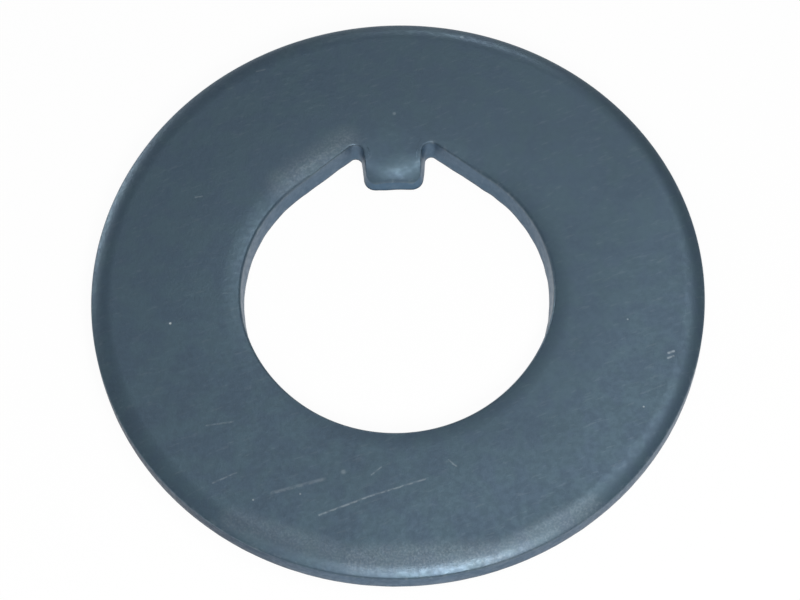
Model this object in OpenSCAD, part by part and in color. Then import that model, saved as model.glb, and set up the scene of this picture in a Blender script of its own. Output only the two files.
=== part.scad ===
// Hub lock washer: a thick stamped steel ring with one tab that stands into its hole.
// It lies flat with its rolled face up. The origin is the middle of the lower face, +Z is up,
// and the tab points from +Y towards the middle. All sizes are in millimetres.

/* [Ring] */
// Outer diameter
outer_d = 52; // [44:0.5:80]
// Diameter of the round part of the hole
hole_d = 26; // [22:0.25:32]
// Thickness of the sheet
thickness = 2.5; // [1.6:0.1:4]

/* [Tab] */
// Width of the tab where it crosses the hole's circle
tab_root_w = 5.45; // [4:0.05:7]
// Width of the tab at its end
tab_end_w = 5; // [4:0.05:7]
// How far the tab stands into the round hole
tab_reach = 2.4; // [1.6:0.05:4]
// Radius of the tab's two end corners
tab_corner_r = 1.05; // [0.3:0.05:1.2]

/* [Flanks and reliefs] */
// Angle from the tab's middle at which each straight flank leaves the round hole
flank_angle = 38; // [34:1:46]
// Radius of the relief between a flank and the tab
relief_r = 0.55; // [0.3:0.05:0.9]

/* [Rolled edges] */
// Width of the stamped roll along the outer edge
outer_roll_w = 1.8; // [1.2:0.1:3]
// Depth of the roll at the outer edge
outer_roll_h = 0.75; // [0.6:0.05:1.3]
// Width of the roll around the hole
hole_roll_w = 1.7; // [1.2:0.1:3]
// Depth of the roll at the hole's edge
hole_roll_h = 0.4; // [0.4:0.05:1.3]
// Width of the roll over the tab's end
tab_roll_w = 2.1; // [1.2:0.1:2.4]
// Depth of the roll at the tab's end
tab_roll_h = 1.2; // [0.6:0.05:1.3]
// Radius of the tab's crown across its width
tab_crown_r = 5.5; // [4.5:0.25:12]
// How far the crown drops at the tab's end corners
tab_crown_drop = 0.8; // [0.4:0.05:1.2]
// Radius with which the outer roll turns into the wall below it
outer_roll_corner_r = 0.25; // [0.1:0.05:0.7]
// Radius with which the roll around the hole turns into the wall below it
hole_roll_corner_r = 0.3; // [0.1:0.05:0.5]
// Radius with which the roll over the tab's end turns into the wall below it
tab_roll_corner_r = 0.5; // [0.1:0.05:0.5]

/* [Hidden] */
$fn = 96;

// Overrun of a cut past the surface that it cuts
over = 1;
// Largest share of a roll's depth that its turn into the wall takes
corner_share = 0.85;
// How far a corner's circle crosses the lines or arcs that it joins
corner_cross = 0.003;
steel_blue_grey = [0.31, 0.38, 0.44];

outer_r = outer_d / 2;
hole_r = hole_d / 2;

// One half of the hole's outline, on the +X side: the flank's line, the tab's side line and their corner
function unit(v) = v / norm(v);
function crossing(n1, d1, n2, d2) =
    let (det = n1.x * n2.y - n1.y * n2.x)
    [d1 * n2.y - d2 * n1.y, n1.x * d2 - n2.x * d1] / det;

flank_out = [sin(flank_angle), cos(flank_angle)];
flank_start = hole_r * flank_out;
tab_end_y = hole_r - tab_reach;
tab_corner = [tab_end_w / 2, tab_end_y];
tab_side_dir = unit([(tab_root_w - tab_end_w) / 2, tab_reach]);
tab_side_out = [tab_side_dir.y, -tab_side_dir.x];
tab_side_at = tab_side_out * tab_corner;
inner_corner = crossing(flank_out, hole_r, tab_side_out, tab_side_at);

// The relief's circle touches the flank and the tab's side
relief_mid = crossing(flank_out, hole_r - relief_r, tab_side_out, tab_side_at + relief_r);

// The circle of the tab's end corner touches the tab's side and end
tab_end_out = [0, -1];
tab_corner_mid = crossing(tab_end_out, -tab_end_y - tab_corner_r, tab_side_out, tab_side_at - tab_corner_r);

// The tab's crown starts where the relief meets the tab's side and falls towards the tab's end
crown_start = relief_mid - tab_side_out * relief_r;
crown_fall = atan(tab_crown_drop / (crown_start.y - tab_end_y));
function crown_sag(x) = (tab_crown_r - sqrt(tab_crown_r * tab_crown_r - x * x)) / cos(crown_fall);

module both_sides() {
    children();
    mirror([1, 0, 0]) children();
}

// What lies between a rounded corner's arc and the corner of its two straight sides, with overrun
module corner_patch(mid, r, out1, out2, corner) {
    difference() {
        polygon([mid, mid + out1 * (r + over), corner + (out1 + out2) * over, mid + out2 * (r + over)]);
        translate(mid) circle(r + corner_cross);
    }
}

module tab_outline() {
    root = inner_corner + tab_side_dir * over;
    difference() {
        polygon([tab_corner, root, [-root.x, root.y], [-tab_corner.x, tab_corner.y]]);
        both_sides() corner_patch(tab_corner_mid, tab_corner_r, tab_end_out, tab_side_out, tab_corner);
    }
}

module hole_outline() {
    difference() {
        union() {
            circle(hole_r);
            polygon([
                [0, 0],
                flank_start,
                inner_corner,
                [-inner_corner.x, inner_corner.y],
                [-flank_start.x, flank_start.y]
            ]);
        }
        tab_outline();
        both_sides() corner_patch(relief_mid, relief_r, flank_out, -tab_side_out, inner_corner);
    }
}

// Section of what a roll takes off: x runs from the edge into the sheet, y is height from the top face.
// A wide arc leaves the flat smoothly and a tight arc carries it into the wall.
module roll_section(w, h, corner_r) {
    tight_r = min(corner_r, h * corner_share);
    wide_r = (pow(w - tight_r, 2) + h * h - tight_r * tight_r) / (2 * (h - tight_r));
    wide_mid = [w, -wide_r];
    tight_mid = [tight_r, -h];
    joint_dir = unit(tight_mid - wide_mid);
    difference() {
        translate([-over, -h]) square([w + over, h + over]);
        translate(tight_mid) circle(tight_r + corner_cross);
        intersection() {
            translate(wide_mid) circle(wide_r);
            polygon([wide_mid, wide_mid + joint_dir * (wide_r + over), [w, over]]);
        }
    }
}

// The tab's root, which the roll around the hole spares; its sides slope down into the roll
module tab_root() {
    depth = hole_roll_h + over;
    translate([0, hole_r + hole_roll_w + over, thickness])
        rotate([90, 0, 0])
            linear_extrude(hole_roll_w + tab_reach + 2 * over)
                polygon([
                    [relief_mid.x - over, over],
                    [relief_mid.x + depth, -depth],
                    [-relief_mid.x - depth, -depth],
                    [over - relief_mid.x, over]
                ]);
}

// The roll around the hole keeps to the hole's circle, so it fades along the straight flanks
module hole_roll() {
    difference() {
        translate([0, 0, thickness])
            rotate_extrude()
                translate([hole_r, 0]) roll_section(hole_roll_w, hole_roll_h, hole_roll_corner_r);
        tab_root();
    }
}

module outer_roll() {
    translate([0, 0, thickness])
        rotate_extrude()
            translate([outer_r, 0])
                mirror([1, 0]) roll_section(outer_roll_w, outer_roll_h, outer_roll_corner_r);
}

module tab_roll() {
    translate([-tab_end_w / 2, tab_end_y, thickness])
        rotate([90, 0, 90])
            linear_extrude(tab_end_w) roll_section(tab_roll_w, tab_roll_h, tab_roll_corner_r);
}

// What the crown takes off the tab: all above a cylinder that leans down towards the tab's end
module tab_crown() {
    reach = crown_start.y - tab_end_y + over;
    difference() {
        translate([-crown_start.x - over, crown_start.y - reach, 0])
            cube([2 * (crown_start.x + over), reach, thickness + over]);
        translate([0, crown_start.y, thickness + crown_sag(crown_start.x)])
            rotate([90 + crown_fall, 0, 0])
                translate([0, -tab_crown_r, 0]) cylinder(h = 4 * reach, r = tab_crown_r, center = true);
    }
}

module lock_washer() {
    color(steel_blue_grey)
        difference() {
            cylinder(h = thickness, r = outer_r);
            translate([0, 0, -over]) linear_extrude(thickness + 2 * over) hole_outline();
            outer_roll();
            hole_roll();
            tab_roll();
            tab_crown();
        }
}

lock_washer();
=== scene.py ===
"""Dresses the hub lock washer: a fine mesh of the stamped ring, its dark steel and a plain studio."""
import math
from collections import namedtuple

import bpy
import numpy as np
from mathutils import Matrix, Vector, noise


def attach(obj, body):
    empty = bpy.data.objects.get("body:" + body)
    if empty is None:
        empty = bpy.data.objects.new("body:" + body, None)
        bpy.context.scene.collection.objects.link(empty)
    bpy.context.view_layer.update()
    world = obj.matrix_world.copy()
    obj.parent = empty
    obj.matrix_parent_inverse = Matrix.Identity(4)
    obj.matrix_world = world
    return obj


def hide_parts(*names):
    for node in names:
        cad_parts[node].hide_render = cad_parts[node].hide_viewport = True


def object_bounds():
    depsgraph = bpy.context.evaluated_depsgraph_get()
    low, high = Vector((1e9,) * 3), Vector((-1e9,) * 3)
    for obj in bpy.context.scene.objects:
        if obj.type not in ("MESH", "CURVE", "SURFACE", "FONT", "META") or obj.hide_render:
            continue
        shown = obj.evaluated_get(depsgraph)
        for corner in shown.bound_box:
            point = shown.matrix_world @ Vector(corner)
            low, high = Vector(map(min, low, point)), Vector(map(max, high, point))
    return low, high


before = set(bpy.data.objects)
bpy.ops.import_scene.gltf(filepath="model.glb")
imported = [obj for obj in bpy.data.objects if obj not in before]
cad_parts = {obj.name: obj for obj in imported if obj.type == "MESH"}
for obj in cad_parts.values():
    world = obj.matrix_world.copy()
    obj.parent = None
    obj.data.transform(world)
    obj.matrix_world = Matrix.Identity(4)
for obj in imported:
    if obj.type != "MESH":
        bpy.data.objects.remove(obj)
cad_low, cad_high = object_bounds()

# Sizes of the washer in millimetres, as in the solid. Its radius and thickness come from the frame's box,
# rounded to a tenth because the frame's mesh follows the circle with straight edges.
MM = 0.001
OUTER_R = round(cad_high[0] / MM, 1)
THICKNESS = round(cad_high[2] / MM, 1)
HOLE_R = 13.0
TAB_ROOT_W = 5.45
TAB_END_W = 5.0
TAB_REACH = 2.4
TAB_CORNER_R = 1.05
FLANK_ANGLE = math.radians(38)
RELIEF_R = 0.55

# Stamped rolls: the corner's radius is that of the turn into the wall
Roll = namedtuple("Roll", "width depth corner_r")
OUTER_ROLL = Roll(width=1.8, depth=0.75, corner_r=0.25)
HOLE_ROLL = Roll(width=1.7, depth=0.4, corner_r=0.3)
TAB_ROLL = Roll(width=2.1, depth=1.2, corner_r=0.5)

# Fine forms of the upper face that only the dressed mesh has, in millimetres;
# the tab's crown is there in the solid too, but flatter
HOLE_SHIFT = np.array([-0.10, -0.10])
TAB_CROWN_R = 4.0
CREASE_BLEND = 0.12
DISH_W = 6.5
DISH_DEPTH = 0.13
FACE_WAVE = 0.012
EDGE_ROUND_R = 0.12
LEAST_ROUND_R = 0.03
# How far the polish of an edge reaches, in millimetres
WEAR_REACH = 0.4

# Lean of the hole's wall in millimetres, then as shares: how much more it leans at the right,
# and the stretch of the hole's radius in front of the middle over which the lean grows
HOLE_LEAN = 0.24
LEAN_TILT = 0.25
LEAN_RAMP = 0.8

# Torn lower part of the walls, in millimetres: rounded foot, and how far the tear leans into the sheet
LOWER_EDGE_R = 0.12
HOLE_TEAR_LEAN = -0.06
HOLE_TEAR_WAVE = 0.09
OUTER_TEAR_LEAN = 0.05
# Upper end of the tear as a share of the wall's height, and shares by which the end and the lean swing
HOLE_TEAR_TOP = 0.4
HOLE_TEAR_SWING = 0.13
OUTER_TEAR_TOP = 0.5
OUTER_TEAR_SWING = 0.15
OUTER_LEAN_SWING = 0.25
# Power of the curve in which the hole's tear runs out upwards
TEAR_CURVE = 3

# Pitch in millimetres and seed of each uneven form
FACE_WAVES = (9.0, 3.7)
HOLE_TEAR_WAVES = (1.1, 8.1)
HOLE_TOP_WAVES = (1.6, 1.3)
OUTER_LEAN_WAVES = (0.8, 5.9)
OUTER_TOP_WAVES = (2.2, 6.6)

# How finely the mesh follows the hole's outline, in millimetres, and where its fan of rays ends
OUTLINE_STEP = 0.14
RELIEF_STEP = 0.07
BORE_STEP = math.radians(1.0)
FAN_R = 16.6
FAN_RELIEF = math.radians(11.0)
FAN_SIDE = math.radians(3.6)
FAN_CORNER = math.radians(2.0)

# Where the mesh's loops lie: distances from an edge or a roll in millimetres
HOLE_EDGE_INSETS = (0.0, 0.01, 0.03, 0.06, 0.1, 0.15, 0.21, 0.28, 0.37, 0.48)
OUTER_EDGE_INSETS = (0.22, 0.15, 0.1, 0.06, 0.03, 0.01, 0.002)
ROLL_MARGIN = 0.4
ROLL_END_INSET = 0.3
UNDERSIDE_INSET = 0.6
UNDERSIDE_MARGIN = 0.1
# Shares of a wall's torn zone or cut zone
HOLE_TORN_SHARES = (0.35, 0.7, 1.0)
HOLE_CUT_SHARES = (0.35, 0.7, 0.92)
OUTER_CUT_SHARES = (0.0, 0.4, 0.8, 1.0)
OUTER_TORN_SHARES = (0.3, 0.65, 1.0)
# Numbers of steps between loops
LOWER_EDGE_STEPS = 4
FAN_STEPS = 26
FLAT_STEPS = 13
ROLL_STEPS = 19
UNDERSIDE_STEPS = 6
UNDERSIDE_FAN_STEPS = 7


def unit(vector):
    return vector / np.linalg.norm(vector)


def smooth(share):
    """A rise from 0 to 1 that starts and ends level."""
    share = np.clip(share, 0, 1)
    return share * share * (3 - 2 * share)


def steps(start, stop, count):
    """Evenly spaced values after start, up to stop."""
    return np.linspace(start, stop, count + 1)[1:]


def direction(azimuth):
    """Plan direction of an angle that turns clockwise from the tab, seen from above."""
    return np.stack([np.sin(azimuth), np.cos(azimuth)], axis=-1)


def crossing(normal_1, reach_1, normal_2, reach_2):
    """Where two lines meet, each given by its normal and its distance from the middle."""
    return np.linalg.solve(np.array([normal_1, normal_2]), np.array([reach_1, reach_2]))


# Lines and corner circles of the hole's outline, on the +X side. The hole is shifted as a whole later on,
# so the tab's end is set back by that much and stays where the solid has it.
tab_end_y = HOLE_R - TAB_REACH - HOLE_SHIFT[1]
flank_out = direction(FLANK_ANGLE)
tab_corner = np.array([TAB_END_W / 2, tab_end_y])
tab_side_dir = unit(np.array([(TAB_ROOT_W - TAB_END_W) / 2, TAB_REACH]))
tab_side_out = np.array([tab_side_dir[1], -tab_side_dir[0]])
tab_side_reach = tab_side_out @ tab_corner
relief_mid = crossing(flank_out, HOLE_R - RELIEF_R, tab_side_out, tab_side_reach + RELIEF_R)
tab_end_out = np.array([0.0, -1.0])
corner_mid = crossing(tab_end_out, -tab_end_y - TAB_CORNER_R, tab_side_out, tab_side_reach - TAB_CORNER_R)
tab_side_azimuth = math.atan2(tab_side_out[0], tab_side_out[1])
# The relief meets the tab's side here, and the tab's crown starts
tab_root = relief_mid - tab_side_out * RELIEF_R


def line_stretch(start, stop, into_sheet, fan_start, fan_stop):
    """A straight stretch of the outline: points, directions into the sheet and angles of their rays."""
    count = max(2, round(np.linalg.norm(stop - start) / OUTLINE_STEP))
    share = np.arange(count) / count
    points = start + np.outer(share, stop - start)
    into = np.tile(into_sheet, (count, 1))
    return points, into, fan_start + share * (fan_stop - fan_start)


def arc_stretch(mid, radius, start, stop, step, side, fan_start, fan_stop):
    """A round stretch of the outline; side is 1 where the sheet lies outside of the circle and -1 inside."""
    count = max(2, round(abs(stop - start) / step))
    share = np.arange(count) / count
    out = direction(start + share * (stop - start))
    return mid + radius * out, side * out, fan_start + share * (fan_stop - fan_start)


def hole_outline():
    """The whole outline of the hole, clockwise from the middle of the tab's end."""
    end_stop = corner_mid + tab_end_out * TAB_CORNER_R
    side_start = corner_mid + tab_side_out * TAB_CORNER_R
    flank_start = relief_mid + flank_out * RELIEF_R
    flank_stop = HOLE_R * flank_out
    flank_fan = math.atan2(flank_start[0], flank_start[1])
    corner_step = OUTLINE_STEP / TAB_CORNER_R
    relief_step = RELIEF_STEP / RELIEF_R
    relief_from = tab_side_azimuth - math.pi
    stretches = [
        line_stretch(np.array([0, tab_end_y]), end_stop, -tab_end_out, 0, FAN_CORNER),
        arc_stretch(
            corner_mid, TAB_CORNER_R, math.pi, tab_side_azimuth, corner_step, -1, FAN_CORNER, FAN_SIDE,
        ),
        line_stretch(side_start, tab_root, -tab_side_out, FAN_SIDE, FAN_RELIEF),
        arc_stretch(
            relief_mid, RELIEF_R, relief_from, FLANK_ANGLE, relief_step, 1, FAN_RELIEF, flank_fan,
        ),
        line_stretch(flank_start, flank_stop, flank_out, flank_fan, FLANK_ANGLE),
        arc_stretch(np.zeros(2), HOLE_R, FLANK_ANGLE, math.pi, BORE_STEP, 1, FLANK_ANGLE, math.pi),
    ]
    points, into, fan = (np.concatenate(parts) for parts in zip(*stretches))
    front = np.array([[0, -HOLE_R]])
    points = np.concatenate([points, front, points[:0:-1] * [-1, 1]])
    into = np.concatenate([into, front / HOLE_R, into[:0:-1] * [-1, 1]])
    fan = np.concatenate([fan, [math.pi], -fan[:0:-1]])
    return points, into, fan


def roll_depth(inset, roll):
    """Depth of a stamped roll at a distance from its edge: a tight arc out of the wall, then a wide one."""
    width, depth, tight = roll
    wide = ((width - tight) ** 2 + depth ** 2 - tight ** 2) / (2 * (depth - tight))
    lean = unit(np.array([tight - width, wide - depth]))
    joint = width + lean[0] * wide
    inset = np.clip(inset, 0, width)
    tight_depth = depth - np.sqrt(np.maximum(tight ** 2 - (tight - np.minimum(inset, tight)) ** 2, 0))
    wide_depth = wide - np.sqrt(wide ** 2 - (width - inset) ** 2)
    return np.where(inset < joint, tight_depth, wide_depth)


def smooth_min(a, b, blend):
    """The smaller of two depths, with their crease rounded off."""
    near = np.clip(0.5 + 0.5 * (b - a) / blend, 0, 1)
    return b + (a - b) * near - blend * near * (1 - near) * 0.5


def hole_lean(x, y):
    """How far the hole's wall leans back at its top: more at the tab's side, where the punch tore it."""
    return HOLE_LEAN * smooth(1 + y / (HOLE_R * LEAN_RAMP)) * (1 + LEAN_TILT * x / HOLE_R)


def hole_depth(x, y, lean):
    """Depth of the roll around the hole, which spares the tab's root."""
    inset = np.hypot(x, y) - HOLE_R - lean
    beside_root = np.where(y > 0, np.maximum(np.abs(x) - relief_mid[0], 0), OUTER_R)
    depth = smooth_min(roll_depth(inset, HOLE_ROLL), beside_root, CREASE_BLEND)
    return np.where(inset < HOLE_ROLL.width, np.maximum(depth, 0), 0)


def tab_depth(x, y, lean):
    """Depth of the tab's rolled end and of its crown, which grows towards the end."""
    end = roll_depth(y - tab_end_y - lean, TAB_ROLL)
    crown = x * x / (2 * TAB_CROWN_R) * smooth((tab_root[1] - y) / (tab_root[1] - tab_end_y))
    on_tab = (y > 0) & (np.abs(x) < relief_mid[0]) & (y < tab_root[1])
    return np.where(on_tab, end + crown, 0)


def surface_depth(x, y):
    """How far the upper surface lies below the flat face at a plan point."""
    outer = roll_depth(OUTER_R - np.hypot(x, y), OUTER_ROLL)
    x = x - HOLE_SHIFT[0]
    y = y - HOLE_SHIFT[1]
    lean = hole_lean(x, y)
    dish = DISH_DEPTH * np.maximum(1 - (np.hypot(x, y) - HOLE_R) / DISH_W, 0) ** 2
    return dish + np.maximum(np.maximum(outer, hole_depth(x, y, lean)), tab_depth(x, y, lean))


def edge_drop(inset, round_r):
    """The small round of a punched edge, on top of its roll."""
    short = np.maximum(round_r - inset, 0)
    return round_r - np.sqrt(round_r ** 2 - short ** 2)


def edge_wear(gap):
    """How worn the steel is at a distance from an edge, from 1 to 0."""
    return np.clip(1 - gap / WEAR_REACH, 0, 1)


def waves(points, pitch, seed):
    """A smooth uneven value for each plan point, from about -1 to 1."""
    return np.array([noise.noise(Vector((x / pitch, y / pitch, seed))) for x, y in points])


class Loops:
    """Closed loops of points around the washer's section; each point has a wall mask and an edge mask."""

    def __init__(self):
        self.points = []
        self.wall = []
        self.edge = []

    def add(self, plan, height, wall=0.0, edge=0.0):
        ones = np.ones(len(plan))
        self.points.append(np.column_stack([plan, height * ones]))
        self.wall.append(wall * ones)
        self.edge.append(edge * ones)

    def add_top(self, plan, inset=OUTER_R, round_r=LEAST_ROUND_R):
        """A loop on the upper face, at a distance from the hole's edge; by default far from it."""
        wave = FACE_WAVE * np.maximum(waves(plan, *FACE_WAVES), 0)
        depth = np.maximum(surface_depth(plan[:, 0], plan[:, 1]) + edge_drop(inset, round_r), 0)
        outer_inset = OUTER_R - np.hypot(plan[:, 0], plan[:, 1])
        self.add(plan, THICKNESS - depth - wave, edge=edge_wear(np.minimum(inset, outer_inset)))


def add_hole_wall(loops, outline, into, lean, top_edge):
    """The hole's wall, from its torn lower edge up; it leans back into the sheet."""
    torn = HOLE_TEAR_LEAN + HOLE_TEAR_WAVE * (0.5 + 0.5 * waves(outline, *HOLE_TEAR_WAVES))
    tear_top = top_edge * (HOLE_TEAR_TOP + HOLE_TEAR_SWING * waves(outline, *HOLE_TOP_WAVES))
    for angle in np.linspace(0, math.pi / 2, LOWER_EDGE_STEPS + 1):
        push = torn + LOWER_EDGE_R * (1 - math.sin(angle))
        loops.add(outline + into * push[:, None], LOWER_EDGE_R * (1 - math.cos(angle)), wall=1)
    for share in HOLE_TORN_SHARES:
        height = LOWER_EDGE_R + share * (tear_top - LOWER_EDGE_R)
        push = torn * (1 - share ** TEAR_CURVE) + lean * height / top_edge
        loops.add(outline + into * push[:, None], height, wall=1)
    for share in HOLE_CUT_SHARES:
        height = tear_top + share * (top_edge - tear_top)
        push = lean * height / top_edge
        loops.add(outline + into * push[:, None], height, wall=1, edge=edge_wear(top_edge - height))


def add_upper_face(loops, edge, into, round_r, rays):
    """Close loops along the hole's upper edge, rays to a circle, then rings to the outer edge."""
    for inset in HOLE_EDGE_INSETS:
        loops.add_top(edge + into * inset, inset, round_r)
    edge_loop = edge + into * HOLE_EDGE_INSETS[-1]
    for share in steps(0, 1, FAN_STEPS):
        loops.add_top(edge_loop + share * (FAN_R * rays - edge_loop))
    flat_end = OUTER_R - OUTER_ROLL.width - ROLL_MARGIN
    for radius in steps(FAN_R, flat_end, FLAT_STEPS):
        loops.add_top(radius * rays)
    for radius in steps(flat_end, OUTER_R - ROLL_END_INSET, ROLL_STEPS):
        loops.add_top(radius * rays)
    for inset in OUTER_EDGE_INSETS:
        loops.add_top((OUTER_R - inset) * rays)


def add_outer_wall(loops, rays):
    """The outer wall, from its rolled edge down: a smooth cut zone, then a torn zone."""
    rim = OUTER_R * rays
    top_edge = THICKNESS - OUTER_ROLL.depth
    tear_top = top_edge * (OUTER_TEAR_TOP + OUTER_TEAR_SWING * waves(rim, *OUTER_TOP_WAVES))
    swing = OUTER_LEAN_SWING * waves(rim, *OUTER_LEAN_WAVES)
    lean = OUTER_TEAR_LEAN * (1 - OUTER_LEAN_SWING + swing)
    for share in OUTER_CUT_SHARES:
        height = top_edge + share * (tear_top - top_edge)
        loops.add(rim, height, wall=1, edge=edge_wear(top_edge - height))
    for share in OUTER_TORN_SHARES:
        height = tear_top + share * (LOWER_EDGE_R - tear_top)
        loops.add((OUTER_R - lean * share)[:, None] * rays, height, wall=1)
    for angle in steps(0, math.pi / 2, LOWER_EDGE_STEPS):
        push = lean + LOWER_EDGE_R * (1 - math.cos(angle))
        loops.add((OUTER_R - push)[:, None] * rays, LOWER_EDGE_R * (1 - math.sin(angle)), wall=1)


def add_underside(loops, outline, into, rays):
    """The flat underside: rings from the outer edge to a circle, then rays to the hole's lower edge."""
    for radius in np.linspace(OUTER_R - UNDERSIDE_INSET, FAN_R, UNDERSIDE_STEPS + 1):
        loops.add(radius * rays, 0.0)
    lower_edge = outline + into * (LOWER_EDGE_R + HOLE_TEAR_LEAN + HOLE_TEAR_WAVE + UNDERSIDE_MARGIN)
    for share in steps(1, 0, UNDERSIDE_FAN_STEPS):
        loops.add(lower_edge + share * (FAN_R * rays - lower_edge), 0.0)


def washer_loops():
    """All loops in turn: up the hole's wall, over the upper face, down the outer wall and back below."""
    outline, into, fan = hole_outline()
    rays = direction(fan)
    lean = hole_lean(outline[:, 0], outline[:, 1])
    outline = outline + HOLE_SHIFT
    upper_edge = outline + into * lean[:, None]
    edge_depth = surface_depth(upper_edge[:, 0], upper_edge[:, 1])
    round_r = np.clip(HOLE_ROLL.depth + DISH_DEPTH - edge_depth, LEAST_ROUND_R, EDGE_ROUND_R)
    loops = Loops()
    add_hole_wall(loops, outline, into, lean, THICKNESS - edge_depth - round_r)
    add_upper_face(loops, upper_edge, into, round_r, rays)
    add_outer_wall(loops, rays)
    add_underside(loops, outline, into, rays)
    return loops


def loop_faces(loop_count, point_count):
    """Four-sided faces between each loop and the next; the last loop joins the first."""
    loop, point = np.meshgrid(np.arange(loop_count), np.arange(point_count), indexing="ij")
    next_loop = (loop + 1) % loop_count
    next_point = (point + 1) % point_count
    corners = [(loop, point), (next_loop, point), (next_loop, next_point), (loop, next_point)]
    return np.stack([(row * point_count + column).ravel() for row, column in corners], axis=1)


def make_washer(material):
    """The dressed mesh, with its masks for the material."""
    loops = washer_loops()
    points = np.array(loops.points)
    faces = loop_faces(*points.shape[:2])
    mesh = bpy.data.meshes.new("stamped_washer")
    mesh.from_pydata((points.reshape(-1, 3) * MM).tolist(), [], faces.tolist())
    mesh.polygons.foreach_set("use_smooth", np.ones(len(faces), dtype=bool))
    for name, mask in (("wall", loops.wall), ("edge", loops.edge)):
        attribute = mesh.attributes.new(name, "FLOAT", "POINT")
        attribute.data.foreach_set("value", np.concatenate(mask))
    mesh.materials.append(material)
    mesh.update()
    washer = bpy.data.objects.new("stamped_washer", mesh)
    bpy.context.scene.collection.objects.link(washer)
    return washer


# Marks on the upper face, in millimetres from the middle: start, end, half width and strength of a scratch
SCRATCHES = [
    ((-6.86, -20.42), (-2.60, -18.85), 0.13, 0.24),
    ((-2.60, -18.85), (1.92, -17.48), 0.12, 0.20),
    ((-10.71, -18.35), (-6.41, -17.23), 0.22, 0.13),
    ((-15.57, -17.31), (-13.67, -16.47), 0.11, 0.16),
    ((-16.16, -12.16), (-13.92, -11.87), 0.11, 0.12),
    ((-2.53, -16.99), (-1.69, -16.30), 0.10, 0.20),
    ((3.86, -15.83), (4.51, -16.39), 0.11, 0.18),
    ((22.55, -6.70), (23.00, -6.55), 0.16, 0.40),
    ((22.50, -7.15), (22.95, -7.00), 0.14, 0.28),
    ((-11.80, 21.40), (-11.10, 21.55), 0.12, 0.12),
    ((-17.10, 9.20), (-16.55, 9.26), 0.12, 0.14),
]
# Place, radius and strength of a speck of dust or bare metal
SPECKS = [
    ((-19.20, -2.70), 0.14, 1.0),
    ((-4.83, -16.65), 0.30, 0.16),
    ((0.10, 16.82), 0.22, 0.16),
    ((-12.28, -18.92), 0.12, 0.40),
    ((-8.40, -18.51), 0.12, 0.30),
    ((19.29, -3.49), 0.12, 0.30),
    ((20.21, -11.54), 0.12, 0.35),
    ((6.24, 24.34), 0.30, 0.20),
]
# Scuffed stretches, which sparkle: start, end, half width and strength. Partly real scuffing and partly
# painted light: the narrow stretch along the left flank's edge is wear, the broad patch beside it is painted
# sheen, and the stretches along the front roll and on the tab add painted highlight sparkle
SCUFFS_AND_SHEEN = [
    ((-9.8, 10.4), (-4.2, 14.4), 1.9, 0.11),
    ((-8.6, 11.2), (-4.0, 14.5), 0.6, 0.16),
    ((-14.0, -20.6), (-4.0, -24.4), 1.6, 0.10),
    ((-4.0, -24.4), (8.0, -24.2), 1.8, 0.15),
    ((8.0, -24.2), (15.5, -20.3), 1.6, 0.14),
    ((-0.4, 11.6), (1.2, 11.6), 0.8, 0.06),
]
# Share of a mark's width that has its full strength, and how far its outline is shaken, in millimetres
SCRATCH_CORE = 0.2
SPECK_CORE = 0.3
MARK_SHAKE = 0.16
# Strengths of the polish along the edges and of the flecks; what is left of a broken scratch or scuff
EDGE_POLISH = 0.1
FLECK_STRENGTH = 0.04
SCRATCH_LEFT = 0.35
SCUFF_LEFT = 0.4
# Direction in which the fine flecks lie, from +X towards +Y, and how they are squeezed along and across it
FLECK_TURN = math.radians(20)
FLECK_SQUEEZE = (0.9, 4.0, 1.0)

# Colours of the steel, as linear light
BLUE_OXIDE = (0.066, 0.108, 0.152, 1)
GREEN_OXIDE = (0.066, 0.111, 0.147, 1)
HOLE_WALL = (0.062, 0.118, 0.182, 1)
OUTER_WALL = (0.027, 0.081, 0.146, 1)
# Painted shade: the outer wall's colour on its left side, darker than the rest of that wall
PAINTED_SHADE_WALL = (0.006, 0.036, 0.078, 1)
BARE_STEEL = (0.52, 0.59, 0.63, 1)

# Sizes of the steel's uneven patches in millimetres, from the broadest to the finest
CLOUD_PITCH = 7.0
TINT_PITCH = 1.8
FLECK_PITCH = 1.0
POLISH_PITCH = 0.6
LUMP_PITCH = 0.5
MOTTLE_PITCH = 0.45
RIPPLE_PITCH = 0.22
SPARKLE_PITCH = 0.19
GRAIN_PITCH = 0.12
# Keeps the tint's patches apart from the cloud's
TINT_SHIFT = (40.0, 7.0, 0.0)

# Values between which an uneven patch takes effect; its middle value is 0.5
PATCH_RANGE = (0.3, 0.7)
TINT_RANGE = (0.38, 0.62)
FLECK_RANGE = (0.58, 0.76)
POLISH_RANGE = (0.52, 0.72)
LUMP_RANGE = (0.36, 0.58)
SPARKLE_RANGE = (0.35, 0.75)

# Zones in millimetres, from where each starts to where it is complete
# The first zone is where the outer wall turns to painted shade, towards the left
PAINTED_SHADE_X = (-4.0, -16.0)
CALM_X = (-6.0, 16.0)
CALM_Y = (-8.0, 12.0)
# This zone is the painted shade at the foot of the walls, from the height where it starts down to where it is
# complete
FOOT_SHADE_Z = (0.26, 0.08)
WALL_MARGIN = 4.0
OUTSIDE_R = (HOLE_R + WALL_MARGIN, OUTER_R - WALL_MARGIN)
TAB_MIDDLE = (0.0, 12.0)
TAB_ZONE_R = 4.5

# How much each patch lightens or darkens the steel, and what the calm zones leave of that
CLOUD_STAIN = 0.03
TINT_STAIN = 0.05
MOTTLE_STAIN = 0.06
GRAIN_STAIN = 0.025
CALM_X_LEFT = 0.55
CALM_Y_LEFT = 0.5
# Painted light: the tab is lighter than the ring around it. Painted shade: the foot of the walls is darker
TAB_PAINTED_LIGHT = 0.13
FOOT_SHADE_LEFT = 0.3

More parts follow.
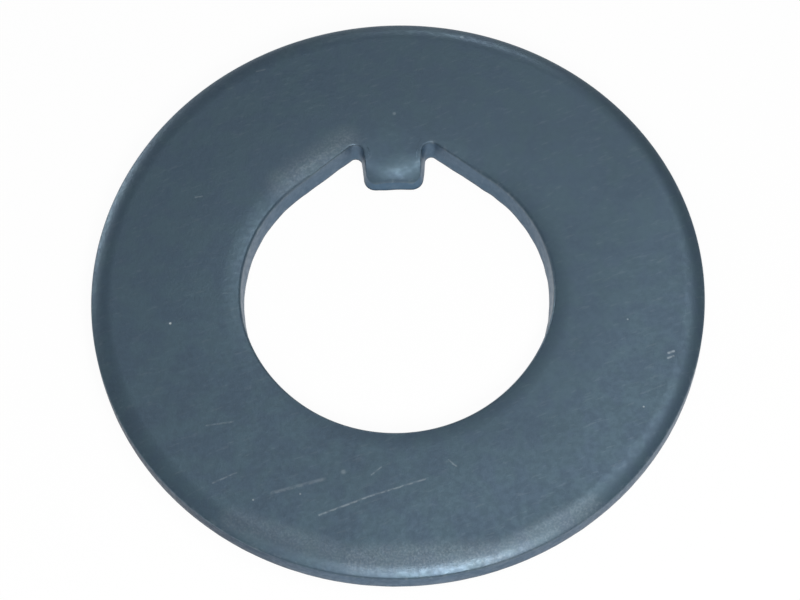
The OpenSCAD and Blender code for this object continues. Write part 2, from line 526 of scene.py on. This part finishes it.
# Gloss: the patches, the bare marks and the painted sheen change the roughness by these amounts, and the tab
# is duller
METALLIC = 0.5
ROUGHNESS = 0.42
CLOUD_GLOSS = 0.03
MOTTLE_GLOSS = 0.05
BARE_GLOSS = 0.1
TAB_DULL = 0.09
SHINE = 0.5
# Specular level of the outer wall where it has painted shade
PAINTED_SHADE_SHINE = 0.05

# Heights of the fine relief in millimetres
GRAIN_RELIEF = 0.003
RIPPLE_RELIEF = 0.007
MOTTLE_RELIEF = 0.012
MARK_RELIEF = 0.01
SCUFF_RELIEF = 0.04

# Vector operations that give a number, and the numbers of a mix node's colour sockets
SCALAR_RESULTS = ("DOT_PRODUCT", "DISTANCE", "LENGTH")
MIX_SHARE, MIX_FIRST, MIX_SECOND, MIX_RESULT = 0, 6, 7, 2


class Graph:
    """Short ways to add and join the nodes of one material."""

    def __init__(self, name):
        self.material = bpy.data.materials.new(name)
        self.material.use_nodes = True
        self.nodes = self.material.node_tree.nodes
        self.links = self.material.node_tree.links
        self.shader = self.nodes["Principled BSDF"]

    def feed(self, socket, value):
        if isinstance(value, bpy.types.NodeSocket):
            self.links.new(value, socket)
        else:
            socket.default_value = value

    def math(self, operation, *values):
        """Joins two or more values, one after the other."""
        result = values[0]
        for value in values[1:]:
            node = self.nodes.new("ShaderNodeMath")
            node.operation = operation
            self.feed(node.inputs[0], result)
            self.feed(node.inputs[1], value)
            result = node.outputs[0]
        return result

    def vector(self, operation, *values):
        node = self.nodes.new("ShaderNodeVectorMath")
        node.operation = operation
        for socket, value in zip(node.inputs, values):
            self.feed(socket, value)
        return node.outputs["Value" if operation in SCALAR_RESULTS else "Vector"]

    def scaled(self, vector, factor):
        node = self.nodes.new("ShaderNodeVectorMath")
        node.operation = "SCALE"
        self.feed(node.inputs["Vector"], vector)
        self.feed(node.inputs["Scale"], factor)
        return node.outputs["Vector"]

    def turned(self, vector, angle):
        """The vector turned around Z."""
        node = self.nodes.new("ShaderNodeVectorRotate")
        node.rotation_type = "Z_AXIS"
        node.inputs["Angle"].default_value = angle
        self.feed(node.inputs["Vector"], vector)
        return node.outputs["Vector"]

    def noise(self, place, pitch, detail=2.0):
        """An uneven value around 0.5; pitch is its size in millimetres."""
        node = self.nodes.new("ShaderNodeTexNoise")
        self.feed(node.inputs["Vector"], place)
        node.inputs["Scale"].default_value = 1 / pitch
        node.inputs["Detail"].default_value = detail
        return node.outputs["Fac"]

    def step(self, value, start, stop, low=0.0, high=1.0):
        """Low before start, high after stop, and a smooth rise between them."""
        node = self.nodes.new("ShaderNodeMapRange")
        node.interpolation_type = "SMOOTHSTEP"
        for name, number in (("From Min", start), ("From Max", stop), ("To Min", low), ("To Max", high)):
            node.inputs[name].default_value = number
        self.feed(node.inputs["Value"], value)
        return node.outputs["Result"]

    def swing(self, patch, amount, middle=0.0):
        """An uneven patch as a value that swings by an amount to both sides of a middle."""
        return self.step(patch, *PATCH_RANGE, middle - amount, middle + amount)

    def mix(self, share, first, second):
        node = self.nodes.new("ShaderNodeMix")
        node.data_type = "RGBA"
        for number, value in ((MIX_SHARE, share), (MIX_FIRST, first), (MIX_SECOND, second)):
            self.feed(node.inputs[number], value)
        return node.outputs[MIX_RESULT]

    def mask(self, name):
        node = self.nodes.new("ShaderNodeAttribute")
        node.attribute_name = name
        return node.outputs["Fac"]


class SteelGraph(Graph):
    """The nodes of the dark steel, with the patches, zones and marks that its looks share."""

    def __init__(self):
        super().__init__("dark_steel")
        coordinates = self.nodes.new("ShaderNodeTexCoord").outputs["Object"]
        self.place = self.scaled(coordinates, 1 / MM)
        self.wall = self.mask("wall")
        self.cloud = self.noise(self.place, CLOUD_PITCH, detail=3.0)
        self.tint = self.noise(self.vector("ADD", self.place, TINT_SHIFT), TINT_PITCH)
        self.mottle = self.noise(self.place, MOTTLE_PITCH)
        self.grain = self.noise(self.place, GRAIN_PITCH, detail=1.0)

        split = self.nodes.new("ShaderNodeSeparateXYZ")
        self.links.new(self.place, split.inputs[0])
        self.x, self.y, self.z = split.outputs
        self.calm = self.step(self.x, *CALM_X, 1.0, CALM_X_LEFT)
        self.painted_shade = self.step(self.x, *PAINTED_SHADE_X)
        plan_radius = self.vector("LENGTH", self.vector("MULTIPLY", self.place, (1.0, 1.0, 0.0)))
        self.outside = self.step(plan_radius, *OUTSIDE_R)
        self.tab_zone = self.spot(self.place, TAB_MIDDLE, TAB_ZONE_R, 1.0)

        self.marks = self.scratches_and_specks()
        self.scuffs_and_sheen = self.scuffed_and_sheen_stretches()
        # The bare-steel mask takes in the painted sheen and highlight sparkle of the scuffed stretches as
        # well as real marks and wear
        self.bare_and_sheen = self.math("MAXIMUM", self.marks, self.scuffs_and_sheen, self.polished_edges(), self.flecks())

    def stretch(self, place, start, end, half_width, strength):
        """A straight mark on the upper face."""
        start = Vector((*start, THICKNESS))
        along = Vector((*end, THICKNESS)) - start
        away = self.vector("SUBTRACT", place, start)
        share = self.math("MULTIPLY", self.vector("DOT_PRODUCT", away, along), 1 / along.length_squared)
        share = self.math("MINIMUM", self.math("MAXIMUM", share, 0.0), 1.0)
        gap = self.vector("DISTANCE", away, self.scaled(along, share))
        return self.step(gap, half_width, half_width * SCRATCH_CORE, 0.0, strength)

    def spot(self, place, middle, radius, strength):
        """A round mark on the upper face."""
        gap = self.vector("DISTANCE", place, Vector((*middle, THICKNESS)))
        return self.step(gap, radius, radius * SPECK_CORE, 0.0, strength)

    def scratches_and_specks(self):
        """All scratches, with uneven outlines and partly broken, and all specks."""
        lumps = self.noise(self.place, LUMP_PITCH)
        shake = self.vector("SUBTRACT", self.scaled((1.0, 1.0, 0.0), lumps), (0.5, 0.5, 0.0))
        shaken = self.vector("ADD", self.place, self.scaled(shake, MARK_SHAKE))
        scratches = self.math("MAXIMUM", *(self.stretch(shaken, *scratch) for scratch in SCRATCHES))
        broken = self.step(lumps, *LUMP_RANGE, SCRATCH_LEFT, 1.0)
        specks = (self.spot(self.place, *speck) for speck in SPECKS)
        return self.math("MAXIMUM", self.math("MULTIPLY", scratches, broken), *specks)

    def scuffed_and_sheen_stretches(self):
        """All scuffed stretches, partly painted highlight sparkle and sheen, broken up into bright grains."""
        scuffs_and_sheen = self.math("MAXIMUM", *(self.stretch(self.place, *scuff) for scuff in SCUFFS_AND_SHEEN))
        sparkle = self.noise(self.place, SPARKLE_PITCH, detail=1.0)
        return self.math("MULTIPLY", scuffs_and_sheen, self.step(sparkle, *SPARKLE_RANGE, SCUFF_LEFT, 1.0))

    def polished_edges(self):
        """Patches along the edges where the oxide is rubbed thin."""
        patches = self.noise(self.place, POLISH_PITCH, detail=3.0)
        return self.math("MULTIPLY", self.mask("edge"), self.step(patches, *POLISH_RANGE, 0.0, EDGE_POLISH))

    def flecks(self):
        """Short flecks that lie along the scratches."""
        squeezed = self.vector("MULTIPLY", self.turned(self.place, -FLECK_TURN), FLECK_SQUEEZE)
        return self.step(self.noise(squeezed, FLECK_PITCH), *FLECK_RANGE, 0.0, FLECK_STRENGTH)

    def colour(self):
        """Two oxides, bluer walls with painted shade low on them and on the outer wall's left, and uncoated
        steel in the marks and in the painted sheen.
        """
        face = self.mix(self.step(self.tint, *TINT_RANGE), BLUE_OXIDE, GREEN_OXIDE)
        # Painted shade: the outer wall darkens towards the left
        outer_wall = self.mix(self.painted_shade, OUTER_WALL, PAINTED_SHADE_WALL)
        oxide = self.mix(self.wall, face, self.mix(self.outside, HOLE_WALL, outer_wall))
        return self.mix(self.bare_and_sheen, self.scaled(oxide, self.shade()), BARE_STEEL)

    def shade(self):
        """How light the oxide is, around 1, with painted light on the tab and painted shade low on the walls.
        """
        stains = self.math(
            "ADD",
            self.swing(self.grain, GRAIN_STAIN),
            self.swing(self.mottle, MOTTLE_STAIN),
            self.swing(self.tint, TINT_STAIN),
        )
        stains = self.math("MULTIPLY", stains, self.calm, self.step(self.y, *CALM_Y, 1.0, CALM_Y_LEFT))
        # Painted light on the tab
        tab_painted_light = self.math("MULTIPLY", self.tab_zone, TAB_PAINTED_LIGHT)
        shade = self.math("ADD", self.swing(self.cloud, CLOUD_STAIN, 1.0), stains, tab_painted_light)
        # Painted shade at the foot of the walls, where they meet the floor
        foot_shade = self.math("MULTIPLY", self.wall, self.step(self.z, *FOOT_SHADE_Z))
        return self.math("MULTIPLY", shade, self.step(foot_shade, 0.0, 1.0, 1.0, FOOT_SHADE_LEFT))

    def roughness(self):
        """Satin, with smoother patches and marks and a duller tab."""
        satin = self.math(
            "ADD",
            self.swing(self.cloud, -CLOUD_GLOSS, ROUGHNESS),
            self.swing(self.mottle, -MOTTLE_GLOSS),
            self.math("MULTIPLY", self.tab_zone, TAB_DULL),
        )
        return self.math("SUBTRACT", satin, self.math("MULTIPLY", self.bare_and_sheen, BARE_GLOSS))

    def shine(self):
        """Where the outer wall has painted shade, it shines less too."""
        dull = self.math("MULTIPLY", self.wall, self.outside, self.painted_shade)
        return self.step(dull, 0.0, 1.0, SHINE, PAINTED_SHADE_SHINE)

    def relief(self):
        """Height of the fine relief, in millimetres."""
        ripple = self.noise(self.place, RIPPLE_PITCH, detail=1.0)
        texture = self.math(
            "ADD",
            self.math("MULTIPLY", self.grain, GRAIN_RELIEF),
            self.math("MULTIPLY", ripple, RIPPLE_RELIEF),
            self.math("MULTIPLY", self.mottle, MOTTLE_RELIEF),
        )
        scratched = self.math("MULTIPLY", self.marks, -MARK_RELIEF)
        scuffed = self.math("MULTIPLY", self.scuffs_and_sheen, SCUFF_RELIEF)
        return self.math("ADD", self.math("MULTIPLY", texture, self.calm), scratched, scuffed)


def dark_steel():
    """Dark satin oxide on stamped steel, with flecks, scratches and lightly polished edges."""
    steel = SteelGraph()
    bump = steel.nodes.new("ShaderNodeBump")
    bump.inputs["Distance"].default_value = MM
    steel.links.new(steel.relief(), bump.inputs["Height"])
    steel.links.new(bump.outputs["Normal"], steel.shader.inputs["Normal"])
    steel.links.new(steel.colour(), steel.shader.inputs["Base Color"])
    steel.links.new(steel.roughness(), steel.shader.inputs["Roughness"])
    steel.links.new(steel.shine(), steel.shader.inputs["Specular IOR Level"])
    steel.shader.inputs["Metallic"].default_value = METALLIC
    return steel.material


# The floor: its half side in metres, its colour, and how white it looks of itself;
# the rest of it takes light and shadow
FLOOR_HALF = 2.0
FLOOR_COLOUR = (0.92, 0.92, 0.92, 1)
FLOOR_ROUGHNESS = 0.9
FLOOR_WHITE = 0.95
# A hair below the washer, so that the two faces don't coincide
FLOOR_Z = -0.02 * MM


def pale_floor():
    """Nearly white where it is seen, directly or mirrored, and plain pale where it lights the washer."""
    graph = Graph("pale_floor")
    graph.shader.inputs["Base Color"].default_value = FLOOR_COLOUR
    graph.shader.inputs["Roughness"].default_value = FLOOR_ROUGHNESS
    rays = graph.nodes.new("ShaderNodeLightPath").outputs
    seen = graph.math("MAXIMUM", *(rays[f"Is {kind} Ray"] for kind in ("Camera", "Glossy", "Transmission")))
    white = graph.nodes.new("ShaderNodeEmission")
    blend = graph.nodes.new("ShaderNodeMixShader")
    graph.links.new(graph.math("MULTIPLY", seen, FLOOR_WHITE), blend.inputs[0])
    graph.links.new(graph.shader.outputs[0], blend.inputs[1])
    graph.links.new(white.outputs[0], blend.inputs[2])
    graph.links.new(blend.outputs[0], graph.nodes["Material Output"].inputs["Surface"])
    return graph.material


def make_floor():
    mesh = bpy.data.meshes.new("floor")
    corners = [(x * FLOOR_HALF, y * FLOOR_HALF, FLOOR_Z) for x, y in ((-1, -1), (1, -1), (1, 1), (-1, 1))]
    mesh.from_pydata(corners, [], [(0, 1, 2, 3)])
    mesh.materials.append(pale_floor())
    floor = bpy.data.objects.new("floor", mesh)
    bpy.context.scene.collection.objects.link(floor)


# Light: a dim pale room, a soft lamp overhead on the right, two close lamps in front and two low ones behind.
# Angles are in degrees, distances and sizes in metres, powers in watts.
ROOM_COLOUR = (1, 1, 1, 1)
ROOM_LIGHT = 0.12
LAMPS = {
    "top": dict(azimuth=62, elevation=70, distance=0.40, size=0.26, power=0.52),
    "key": dict(azimuth=165, elevation=45, distance=0.17, size=0.07, power=0.19),
    "front": dict(azimuth=200, elevation=45, distance=0.17, size=0.10, power=0.042),
    "side": dict(azimuth=-50, elevation=6, distance=0.30, size=0.12, power=0.26),
    "back": dict(azimuth=8, elevation=25, distance=0.30, size=0.06, power=0.078),
}


def make_lamp(name, azimuth, elevation, distance, size, power):
    """A square soft lamp that looks at the washer; azimuth turns clockwise from the tab."""
    lamp = bpy.data.lights.new(name, "AREA")
    lamp.size = size
    lamp.energy = power
    obj = bpy.data.objects.new(name, lamp)
    azimuth = math.radians(azimuth)
    elevation = math.radians(elevation)
    flat = math.cos(elevation)
    place = Vector((flat * math.sin(azimuth), flat * math.cos(azimuth), math.sin(elevation)))
    obj.location = place * distance
    obj.rotation_euler = place.to_track_quat("Z", "Y").to_euler()
    bpy.context.scene.collection.objects.link(obj)


def make_room_light():
    world = bpy.data.worlds.new("studio")
    bpy.context.scene.world = world
    world.use_nodes = True
    background = world.node_tree.nodes["Background"]
    background.inputs["Color"].default_value = ROOM_COLOUR
    background.inputs["Strength"].default_value = ROOM_LIGHT


# The camera, as the washer's own outline in the picture gives it; lens and sensor are in millimetres
CAMERA_ELEVATION = math.radians(64.52)
CAMERA_ROLL = math.radians(2.317)
CAMERA_AZIMUTH = math.radians(0.8)
CAMERA_DISTANCE = 11.015 * OUTER_R * MM
CAMERA_OFFSET = (-0.0084 * OUTER_R * MM, 0.0382 * OUTER_R * MM)
CAMERA_LENS = 152.4
CAMERA_SENSOR = 36.0


def make_camera():
    camera = bpy.data.cameras.new("camera")
    camera.lens = CAMERA_LENS
    camera.sensor_width = CAMERA_SENSOR
    obj = bpy.data.objects.new("camera", camera)
    level = Vector((math.cos(CAMERA_AZIMUTH), math.sin(CAMERA_AZIMUTH), 0))
    flat = math.cos(CAMERA_ELEVATION)
    back = Vector((flat * level.y, -flat * level.x, math.sin(CAMERA_ELEVATION)))
    upright = back.cross(level)
    right = level * math.cos(CAMERA_ROLL) - upright * math.sin(CAMERA_ROLL)
    up = level * math.sin(CAMERA_ROLL) + upright * math.cos(CAMERA_ROLL)
    target = Vector((0, 0, THICKNESS * MM))
    place = target + back * CAMERA_DISTANCE - right * CAMERA_OFFSET[0] - up * CAMERA_OFFSET[1]
    turn = Matrix((right, up, back)).transposed().to_4x4()
    obj.matrix_world = Matrix.Translation(place) @ turn
    bpy.context.scene.collection.objects.link(obj)
    bpy.context.scene.camera = obj


washer = make_washer(dark_steel())
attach(washer, "root")
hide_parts("lock_washer")

make_floor()
make_room_light()
for lamp_name, lamp_values in LAMPS.items():
    make_lamp(lamp_name, **lamp_values)
make_camera()
bpy.context.scene.view_settings.view_transform = "Standard"
